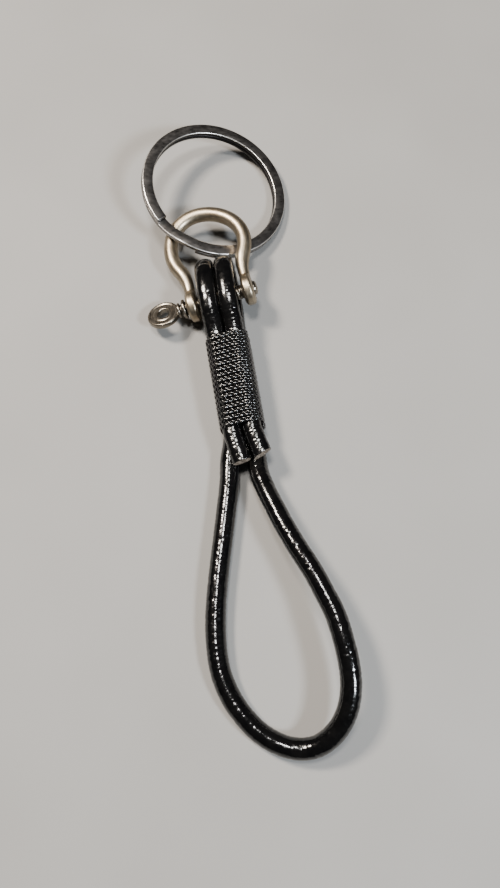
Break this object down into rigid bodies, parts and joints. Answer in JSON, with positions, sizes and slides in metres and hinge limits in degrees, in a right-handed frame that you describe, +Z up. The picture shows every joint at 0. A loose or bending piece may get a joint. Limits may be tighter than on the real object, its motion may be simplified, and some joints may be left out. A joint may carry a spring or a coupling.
{
  "type": "wristlet keychain",
  "caption": "Leather cord wrist loop, whipped with waxed thread, holding a screw-pin bow shackle and a flat split key ring.",
  "frame": {"origin": "on the surface it lies on, in the middle of the box round everything but the wrist loop", "axes": "+Z up from the surface; +Y from the wrist loop to the key ring; +X along the shackle pin, away from its eye"},
  "size_m": [0.0352, 0.1339, 0.0112],
  "materials": {
    "black_nickel": "polished dark plate",
    "antique_nickel": "satin",
    "bright_steel": "polished",
    "black_leather": "glossy, fine wrinkles",
    "waxed_thread": "waxed braid"
  },
  "bodies": {
    "strap": {"left_eye_strand": "black_leather", "right_eye_strand": "black_leather", "whipping": "waxed_thread"},
    "wrist_loop": {"wrist_loop": "black_leather"},
    "shackle": {"shackle_bow": "antique_nickel"},
    "screw_pin": {"shackle_pin": "bright_steel"},
    "key_ring": {"split_ring": "black_nickel"}
  },
  "joints": [
    {"name": "shackle_swing", "type": "hinge", "parent": "strap", "child": "shackle", "pos_m": [-0.0018, -0.0027, 0.00545], "axis": [0.984, 0.0395, 0.1736], "range_deg": [-90, 90]},
    {"name": "pin_turn", "type": "hinge", "parent": "shackle", "child": "screw_pin", "pos_m": [-0.0018, -0.0027, 0.00545], "axis": [0.984, 0.0395, 0.1736], "continuous": true},
    {"name": "ring_swing", "type": "hinge", "parent": "shackle", "child": "key_ring", "pos_m": [-0.00231, 0.01042, 0.00481], "axis": [0.8852, -0.2582, -0.3869], "range_deg": [-90, 90]},
    {"name": "loop_bend", "type": "hinge", "parent": "strap", "child": "wrist_loop", "pos_m": [-0.0076, -0.0415, 0.00205], "axis": [0.9664, 0, 0.2572], "range_deg": [-75, 75], "stiffness_Nm_per_rad": 0.01}
  ]
}
